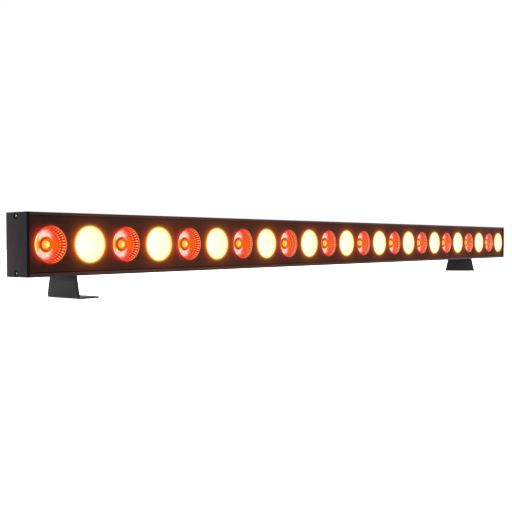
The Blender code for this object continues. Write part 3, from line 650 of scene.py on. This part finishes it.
def cup_profile():
    """Reflector cup as (radius, height before the panel's face): back, bowl, ring, emitter."""
    rim, floor_radius, steps, roundness = 0.0157, 0.0060, 16, 1.7
    brim = LENS_PROUD - 0.0006
    depth = LENS_BACK - PANEL_FRONT + LENS_PROUD - 0.0020
    bowl = []
    for i in range(steps + 1):
        radius = rim + (floor_radius - rim) * i / steps
        share = (radius - floor_radius) / (rim - floor_radius)
        bowl.append((radius, brim - depth * (1 - share ** roundness)))
    low = bowl[-1][1]
    ring = [(0.0057, low + 0.0004), (0.0054, low + 0.0006), (0.0050, low + 0.0005),
            (0.0048, low + 0.0001), (0.0046, low - 0.0005)]
    pit = low - 0.0006
    emitter = [(0.0032, pit), (0.0032, pit + 0.0010), (0.0029, pit + 0.0019),
               (0.0021, pit + 0.0025), (0.0010, pit + 0.0028), (0, pit + 0.0029)]
    flange, under = LENS_RIM - 0.0001, pit - 0.0002
    back = [(0, under), (floor_radius, under), (rim, -0.0035), (flange, -0.0034),
            (flange, -0.0024), (LENS_RADIUS, -0.0023), (LENS_RADIUS, brim)]
    return back + bowl + ring + emitter


def make_lenses():
    """Each lens is a clear block sunk into a lit cup; every second one is warm white."""
    face, wall = LENS_RADIUS, LENS_RADIUS - 0.00015
    base = PANEL_FRONT - LENS_BACK + 0.0002
    cover = turned("lens_cover", [
        (0, LENS_PROUD), (face - 0.0004, LENS_PROUD), (face - 0.0001, LENS_PROUD - 0.0001),
        (face, LENS_PROUD - 0.0003), (face, LENS_PROUD - 0.0005), (wall, LENS_PROUD - 0.0007),
        (wall, -0.0030), (0.0060, base), (0, base)], 72, TOWARD_FRONT)
    kinds = []
    for kind, look in (("red", RED_CUP), ("warm", WARM_CUP)):
        cup = turned(f"cup_{kind}", cup_profile()[::-1], 96, TOWARD_FRONT, rim=LENS_RADIUS)
        kinds.append((cup, look, f"lens_{kind}"))
    for number, (name, x) in enumerate(zip(LENS_NAMES, LENS_X)):
        cup, look, slot = kinds[number % 2]
        at = Matrix.Translation((x, PANEL_FRONT, BAR_MID))
        label = name.split("_")[1]
        piece(f"lens_cup_{label}", cup, [look], "bar", [name], at)
        piece(f"lens_cover_{label}", cover, [CLEAR], "bar", [], at)


def make_end_caps():
    """Flat caps whose countersunk holes nearly reach the top and bottom edges."""
    for side, sign, turn in (("left", -1, TOWARD_LEFT), ("right", 1, ALONG_BAR)):
        low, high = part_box(f"end_cap_{side}")
        middle = (low + high) / 2
        outer = high.x - low.x
        outside = low.x if sign < 0 else high.x
        sinks, sunk = [], []
        for end in ("top", "bottom"):
            name = f"end_cap_screw_{side}_{end}"
            screw_low, screw_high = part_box(name)
            centre = (screw_low + screw_high) / 2
            head = (screw_high.z - screw_low.z) / 2
            face = screw_low.x if sign < 0 else screw_high.x
            mesh = flat_screw(name + "_finish", head, 0.00145, screw_high.x - screw_low.x, turn,
                              (face, centre.y, centre.z))
            piece(name + "_finish", mesh, [], "bar", [name])
            sunk.append((centre.y, centre.z))
            across = (centre.y - middle.y) * sign
            sink = turned("sink", [(0, 0.001), (head + 0.0013, 0.001), (head + 0.0003, 0),
                                   (0.0018, -0.0014), (0.0018, -0.004), (0, -0.004)], 40)
            sink.transform(Matrix.Translation((across, centre.z - middle.z, outer / 2)))
            sinks.append(sink)
        edge = rectangle(high.y - low.y, high.z - low.z, 0.0007)
        mesh = plate(f"cap_{side}", [edge], outer, 0.0003, Matrix())
        mesh = carved(f"cap_{side}", mesh, sinks)
        mesh.transform(Matrix.Translation(middle) @ turn)
        mesh.materials.clear()
        mesh.materials.append(CAP_FINISH)
        mesh.materials.append(CAP_SHADE_BLACK)
        # Painted shade: front-facing faces and the screw sinks' walls take the near-black shade
        # material.
        for face in mesh.polygons:
            inside = any(math.hypot(face.center.y - y, face.center.z - z) < 0.0030
                         for y, z in sunk) and abs(face.center.x - outside) > 0.00005
            face.material_index = 1 if face.normal.y < -0.30 or inside else 0
        piece(f"cap_{side}", mesh, [], "bar", [f"end_cap_{side}"])


def flat_screw(name, head, shank, length, turn, at):
    """Countersunk cross-head screw whose face is at local height 0."""
    cone = head - shank
    mesh = turned(name, [(0, 0), (head - 0.0001, 0), (head, -0.0001), (shank, -cone),
                         (shank, -length), (0, -length)], 40)
    arm, half, deep = 0.62 * head, 0.15 * head, 0.0006
    for w, h in ((arm, half), (half, arm)):
        mesh = carved(name, mesh, [block("slot", (-w, -h, -deep), (w, h, 0.001))])
    mesh.materials.clear()
    mesh.materials.append(SCREW_BLACK)
    mesh.materials.append(ZINC)
    for face in mesh.polygons:
        inner = math.hypot(face.center.x, face.center.y) < arm
        face.material_index = int(inner and -deep - 0.0001 < face.center.z < -0.0001)
    mesh.transform(Matrix.Translation(at) @ turn)
    return mesh


# ---- feet --------------------------------------------------------------------------------
def sheet_solid(name, rows, thickness):
    """Bent sheet with rounded rims, from rows of points on its middle surface."""
    work = bmesh.new()
    grid = [[work.verts.new(point) for point in row] for row in rows]
    for upper, lower in zip(grid, grid[1:]):
        for i in range(len(upper) - 1):
            work.faces.new((upper[i], upper[i + 1], lower[i + 1], lower[i]))
    bmesh.ops.recalc_face_normals(work, faces=work.faces)
    mesh = bpy.data.meshes.new(name)
    work.to_mesh(mesh)
    work.free()
    item = bpy.data.objects.new(name, mesh)
    shell = item.modifiers.new("sheet", "SOLIDIFY")
    shell.thickness = thickness
    shell.offset = 0
    rims = item.modifiers.new("rims", "BEVEL")
    rims.width = 0.0002
    rims.segments = 2
    rims.limit_method = "ANGLE"
    rims.angle_limit = math.radians(50)
    return settle(name, item)


FOOT_SWIVELS = (("left", 0.0), ("right", 26.0))     # degrees about the bolt, at rest


def foot_mesh(name, height):
    """Foot about its bolt's axis: web, flange on the floor, and a round tab under the bar."""
    sheet, tab_radius, bore, web, flange = 0.0015, 0.0070, 0.0023, -0.0075, 0.0230
    low_half, high_half, corner, bend = 0.0240, 0.0195, 0.0020, 0.0014
    middle = web + sheet / 2
    path = [(middle, share * height) for share in (1, 0.75, 0.5, 0.25)]
    for i in range(7):
        angle = math.pi / 2 * i / 6
        path.append((middle + bend * (1 - math.cos(angle)),
                     sheet / 2 + bend * (1 - math.sin(angle))))
    tip = web + flange
    path += [(tip - corner - 0.010, sheet / 2), (tip - corner, sheet / 2)]
    path += [(tip - corner + corner * math.sin(math.radians(a)), sheet / 2)
             for a in (22.5, 45, 67.5, 90)]
    rows = []
    for x, z in path:
        half = low_half + (high_half - low_half) * z / height
        past = max(0.0, x - (tip - corner))
        half -= corner - math.sqrt(max(0.0, corner ** 2 - past ** 2))
        rows.append([(x, half * t / 6, z) for t in range(-6, 7)])
    bracket = sheet_solid("bracket", rows, sheet)
    arc = [math.radians(a) for a in range(-90, 91, 10)]
    edge = [(middle, tab_radius), (middle, -tab_radius)]
    edge += [(tab_radius * math.cos(a), tab_radius * math.sin(a)) for a in arc]
    tab = plate("tab", [edge, circle(bore, 32)], sheet, 0.0002, Matrix(),
                (0, 0, height - sheet / 2))
    return joined(name, [bracket, tab])


def washer_mesh(name, thickness, location):
    bore, radius, edge = 0.0023, 0.0045, 0.0002
    return turned(name, [
        (bore, 0), (0.0043, 0), (radius, -edge), (radius, edge - thickness),
        (0.0043, -thickness), (bore, -thickness), (bore, 0)], 48, location=location)


def bolt_mesh(name, length):
    """Hexagon bolt standing on its head, with a threaded shank."""
    head, head_height, shank, groove, half_pitch = 0.0040, 0.0028, 0.0020, 0.0003, 0.00035
    hexagon = turned("head", [(0, 0), (0.78 * head, 0), (head, 0.0005), (head, head_height),
                              (0, head_height)], 6)
    reach = length - head_height
    steps = int(reach / half_pitch)
    profile = [(0, head_height), (shank, head_height)]
    profile += [(shank - groove * (k % 2), head_height + reach * k / steps)
                for k in range(1, steps)]
    profile += [(shank - groove, length), (0, length)]
    return joined(name, [hexagon, turned("shank", profile, 32)])


def make_feet():
    """Bent feet, each on a hexagon bolt and a washer; the right one stands swivelled."""
    for side, swivel in FOOT_SWIVELS:
        bolt_low, bolt_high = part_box(f"foot_bolt_{side}")
        washer_low, washer_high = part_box(f"foot_washer_{side}")
        axis = (bolt_low + bolt_high) / 2
        mesh = foot_mesh(f"foot_{side}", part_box(f"foot_bracket_{side}")[1].z)
        turn = Matrix.Rotation(math.radians(swivel), 4, "Z")
        mesh.transform(Matrix.Translation((axis.x, axis.y, 0)) @ turn)
        mesh.materials.clear()
        piece(f"foot_{side}", mesh, [FOOT_FINISH], f"foot_{side}", [f"foot_bracket_{side}"])
        washer = washer_mesh(f"washer_{side}", washer_high.z - washer_low.z,
                             (axis.x, axis.y, washer_high.z))
        piece(f"washer_{side}", washer, [ZINC], f"carriage_{side}", [f"foot_washer_{side}"])
        bolt = bolt_mesh(f"bolt_{side}", bolt_high.z - bolt_low.z)
        bolt.transform(Matrix.Translation((axis.x, axis.y, bolt_low.z)))
        piece(f"bolt_{side}", bolt, [ZINC], f"carriage_{side}", [f"foot_bolt_{side}"])


# ---- rear housing ------------------------------------------------------------------------
def on_cover(name):
    """Middle of a node's box, as (X, middle height)."""
    low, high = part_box(name)
    return (low.x + high.x) / 2, (low.z + high.z) / 2


def make_cover():
    """Bent sheet cover with holes for the sockets, buttons, screws, fuse and window."""
    low, high = COVER_LOW, COVER_HIGH
    depth, height, sheet = high.y - low.y, high.z - low.z, 0.0015
    corners = [(0, 0, 0), (depth, 0, 0.003), (depth, height, 0.003), (0, height, 0),
               (0, height - sheet, 0), (depth - sheet, height - sheet, 0.0015),
               (depth - sheet, sheet, 0.0015), (0, sheet, 0)]
    section = fillet([(y, z) for y, z, _ in corners], [r for _, _, r in corners], 5)
    mesh = plate("cover", [section], high.x - low.x, 0.0002, ALONG_BAR, (0, low.y, low.z))
    past = 0.003
    holes = [(name, 0.0115) for name in SOCKETS]
    holes += [(f"menu_button_{number}", 0.0043) for number in BUTTONS]
    holes += [(f"cover_screw_{side}", 0.0021) for side in SIDES]
    holes += [("fuse_holder", 0.0063)]
    tools = []
    for name, radius in holes:
        tools.append(turned("hole", [(0, past), (radius, past), (radius, -past), (0, -past)], 64,
                            TOWARD_BACK, (on_cover(name)[0], high.y, BAR_MID)))
    window, play = on_cover("display_window")[0], 0.0004
    w, h = PANE_HALF.x + play, PANE_HALF.y + play
    tools.append(block("window", (window - w, high.y - past, BAR_MID - h),
                       (window + w, high.y + past, BAR_MID + h)))
    mesh = carved("cover", mesh, tools)
    mesh.materials.clear()
    piece("cover", mesh, [COVER_FINISH], "bar", ["driver_cover"])


def domed_screw(name, length, at):
    """Domed screw with a hexagon socket, its top at the given place on the cover."""
    head, height, shank, socket = 0.0034, 0.0020, 0.0018, 0.0018
    bottom = -height - (length - height)
    dome = [(0, 0), (0.55 * head, -0.04 * height), (0.80 * head, -0.22 * height),
            (0.94 * head, -0.5 * height), (head, -0.85 * height), (head, -height),
            (shank, -height), (shank, bottom), (0, bottom)]
    deep = -0.65 * height
    tool = turned("socket", [(0, 0.001), (socket, 0.001), (socket, deep), (0, deep)], 6)
    mesh = carved(name, turned(name, dome, 40), [tool])
    mesh.transform(Matrix.Translation(at) @ TOWARD_BACK)
    return mesh


def make_cover_screws():
    for side in SIDES:
        name = f"cover_screw_{side}"
        low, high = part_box(name)
        x, z = on_cover(name)
        mesh = domed_screw(name + "_finish", high.y - low.y, (x, high.y, z))
        piece(name + "_finish", mesh, [SCREW_BLACK], "bar", [name])


def make_end_plates():
    """Plates with five vents that close the rear housing's ends."""
    for side, turn in (("left", TOWARD_LEFT), ("right", ALONG_BAR)):
        name = f"driver_end_plate_{side}"
        low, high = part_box(name)
        size = high - low
        edge = rectangle(size.y, size.z, 0.002)
        vents = [rectangle(0.0022, 0.024, 0.00105, (0.0055 * i, 0)) for i in range(-2, 3)]
        mesh = plate(name + "_finish", [edge, *vents], size.x, 0.0002, turn, (low + high) / 2)
        piece(name + "_finish", mesh, [COVER_FINISH], "bar", [name])


def make_window_and_buttons():
    """Display pane on its lip, and four round buttons with a collar inside the cover."""
    low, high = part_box("display_window")
    x, z = on_cover("display_window")
    w, h = PANE_HALF
    pane = block("pane", (x - w, high.y - 0.0022, z - h), (x + w, high.y, z + h), 0.0003)
    lip = block("lip", (low.x, low.y, low.z), (high.x, low.y + 0.0012, high.z), 0.0002)
    piece("window", joined("window", [pane, lip]), [WINDOW], "bar", ["display_window"])
    for number in BUTTONS:
        name = f"menu_button_{number}"
        low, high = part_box(name)
        deep = high.y - low.y
        profile = [(0, -0.0004), (0.0020, -0.0003), (0.0031, -0.00005), (0.0035, 0),
                   (0.0039, -0.0003), (0.0040, -0.0008), (0.0040, 0.0010 - deep),
                   (0.0049, 0.0010 - deep), (0.0049, -deep), (0, -deep)]
        x, z = on_cover(name)
        mesh = turned(name + "_finish", profile, 48, TOWARD_BACK, (x, high.y, z))
        piece(name + "_finish", mesh, [GREY_PLASTIC], f"button_{number}", [name])


def socket_plate(name, opening, meshes, metal=()):
    """Socket flange with a round opening, two corner screws, and the meshes that stand in it."""
    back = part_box(name)[1].y
    x, z = on_cover(name)
    thick = 0.0016
    places = [(-0.0097, 0.0122), (0.0097, -0.0122)]
    loops = [rectangle(0.026, 0.031, 0.003), circle(opening, 64)]
    loops += [circle(0.0019, 24, at) for at in places]
    flange = plate("flange", loops, thick, 0.0003, Matrix(), (0, 0, -thick / 2))
    body = joined(name + "_finish", [flange, *meshes])
    body.materials.clear()
    for look in (PLASTIC, CONTACT, SCREW_BLACK, ZINC):
        body.materials.append(look)
    for face in body.polygons:
        face.material_index = 0
    screws = [flat_screw("corner", 0.0018, 0.0011, 0.0030, Matrix(), (*at, -0.0001))
              for at in places]
    parts = [(body, 0)] + [(mesh, 1) for mesh in metal] + [(mesh, 2) for mesh in screws]
    work = bmesh.new()
    for mesh, first_look in parts:
        start = len(work.faces)
        work.from_mesh(mesh)
        work.faces.ensure_lookup_table()
        for face in work.faces[start:]:
            face.material_index += first_look
    work.to_mesh(body)
    work.free()
    body.transform(Matrix.Translation((x, back, z)) @ TOWARD_BACK)
    smooth(body)
    piece(name + "_finish", body, [], "bar", [name])


# Sockets: heights are from the flange's face, and negative behind it.
SHELL_RADIUS = 0.0112
SHELL_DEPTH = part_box("power_in")[1].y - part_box("power_in")[0].y
WELL = -0.0145
KEY_TOP = -0.0012


def shell(inner):
    """Round body behind a flange, open in front, as one turned mesh."""
    front = -0.0003
    return turned("shell", [
        (0, WELL), (inner, WELL), (inner, front - 0.0004), (inner + 0.0004, front),
        (inner + 0.0008, front), (SHELL_RADIUS, front - 0.0004), (SHELL_RADIUS, -SHELL_DEPTH),
        (0, -SHELL_DEPTH)], 64)


def around(radius, degrees):
    """Places round a circle."""
    return [(radius * math.cos(math.radians(a)), radius * math.sin(math.radians(a)))
            for a in degrees]


DMX_PINS = around(0.0042, (210, 330, 90))


def make_power_sockets():
    """Round wells with a slotted core and three keys of unlike width."""
    for name in ("power_in", "power_out"):
        core = turned("core", [(0, -0.0030), (0.0036, -0.0030), (0.0042, -0.0036),
                               (0.0042, WELL - 0.0002), (0, WELL - 0.0002)], 48)
        slots = [block("cut", (x - 0.0006, y - 0.0012, -0.008), (x + 0.0006, y + 0.0012, 0.0))
                 for x, y in around(0.0022, (90, 210, 330))]
        core = carved("core", core, slots)
        keys = [block("key", (-0.0009, -0.0096, WELL), (0.0009, -0.0084, KEY_TOP)),
                block("key", (-0.0012, 0.0084, WELL), (0.0012, 0.0096, KEY_TOP)),
                block("key", (0.0084, -0.0008, WELL), (0.0096, 0.0008, KEY_TOP))]
        socket_plate(name, 0.0104, [shell(0.0095), core, *keys])


def make_dmx_in():
    """Well with three pins and a key."""
    pins = [turned("pin", [(0, -0.0025), (0.0006, -0.0026), (0.0011, -0.0031),
                           (0.0012, -0.0037), (0.0012, WELL), (0, WELL)], 24, location=(*at, 0))
            for at in DMX_PINS]
    key = block("key", (-0.0010, -0.0085, WELL), (0.0010, -0.0072, KEY_TOP))
    socket_plate("dmx_in", 0.0093, [shell(0.0084), key], pins)


def make_dmx_out():
    """Solid face with three lined holes, and a ribbed latch that slides in a well above them."""
    places = [(-x, -y) for x, y in DMX_PINS]
    face = turned("face", [(0, -0.0003), (0.0104, -0.0003), (0.0108, -0.0007),
                           (SHELL_RADIUS, -0.0007), (SHELL_RADIUS, -SHELL_DEPTH),
                           (0, -SHELL_DEPTH)], 64)
    bore, liner = 0.0014, 0.00125
    holes = [turned("hole", [(0, 0.001), (0.0017, 0.001), (0.0017, -0.0004), (bore, -0.0007),
                             (bore, -0.0110), (0, -0.0110)], 24, location=(*at, 0))
             for at in places]
    latch_z = on_cover("dmx_out_latch")[1]
    up = latch_z - on_cover("dmx_out")[1]
    holes.append(block("latch_well", (-0.0028, up - 0.0018, -0.0050),
                       (0.0028, up + 0.0018, 0.002)))
    face = carved("face", face, holes)
    lining = [turned("lining", [(bore, -0.0012), (liner, -0.0012), (liner, -0.0090),
                                (bore, -0.0090), (bore, -0.0012)], 24, location=(*at, 0))
              for at in places]
    socket_plate("dmx_out", 0.0105, [face], lining)
    low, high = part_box("dmx_out_latch")
    ribs = [block("rib", (low.x + 0.0006, high.y - 0.0004, latch_z + step - 0.0002),
                  (high.x - 0.0006, high.y, latch_z + step + 0.0002), 0.0001)
            for step in (-0.0008, 0, 0.0008)]
    body = block("latch", low, (high.x, high.y - 0.0002, high.z), 0.0004, 3)
    piece("latch", joined("latch", [body, *ribs]), [GREY_PLASTIC], "latch", ["dmx_out_latch"])


def make_fuse():
    """Threaded ring on the cover, and a fluted cap with a coin slot that turns in it."""
    low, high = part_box("fuse_holder")
    x, z = on_cover("fuse_holder")
    deep, bore = high.y - low.y, 0.0043
    mesh = turned("fuse_ring", [
        (bore, 0), (0.0074, 0), (0.0079, -0.0004), (0.0080, -0.0008), (0.0080, -0.0016),
        (0.0060, -0.0016), (0.0060, -deep), (bore, -deep), (bore, 0)], 64, TOWARD_BACK,
        (x, high.y, z))
    piece("fuse_ring", mesh, [PLASTIC], "bar", ["fuse_holder"])
    low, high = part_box("fuse_cap")
    deep = high.y - low.y
    cap = turned("fuse_knob", [
        (0, 0), (0.0052, 0), (0.0058, -0.0002), (0.0063, -0.0008), (0.0064, -0.0014),
        (0.0064, -0.0066), (0.0062, -0.0070), (0.0040, -0.0070), (0.0040, -deep), (0, -deep)], 72)
    tools = [block("coin", (-0.0050, -0.0007, -0.0015), (0.0050, 0.0007, 0.001))]
    flutes, flute, bottom = 18, 0.0005, -0.0058
    for i in range(flutes):
        angle = 2 * math.pi * (i + 0.5) / flutes
        tools.append(turned("flute", [(0, 0.001), (flute, 0.001), (flute, bottom), (0, bottom)],
                            10, location=(0.0066 * math.cos(angle), 0.0066 * math.sin(angle), 0)))
    mesh = carved("fuse_knob", cap, tools)
    mesh.transform(Matrix.Translation((x, high.y, z)) @ TOWARD_BACK)
    piece("fuse_knob", mesh, [PLASTIC], "fuse_knob", ["fuse_cap"])


# ---- the whole scene ---------------------------------------------------------------------
HIDDEN_LOOKS = {"zinc_steel": ZINC, "board_white": BOARD_WHITE, "board_green": BOARD_GREEN,
                "module_metal": MODULE}

make_camera()
make_studio()
make_bar()
make_panel()
make_lenses()
make_end_caps()
make_feet()
make_cover()
make_cover_screws()
make_end_plates()
make_window_and_buttons()
make_power_sockets()
make_dmx_in()
make_dmx_out()
make_fuse()

# CAD nodes that no piece replaces are hidden inside, and stay plain.
SLOTS = {part["node"]: part["material_slot"] for part in frame["record"]["subparts"]}
for name, node in frame["nodes"].items():
    if not node.hide_render:
        node.data.materials.clear()
        node.data.materials.append(HIDDEN_LOOKS.get(SLOTS[name], BAR_FINISH))
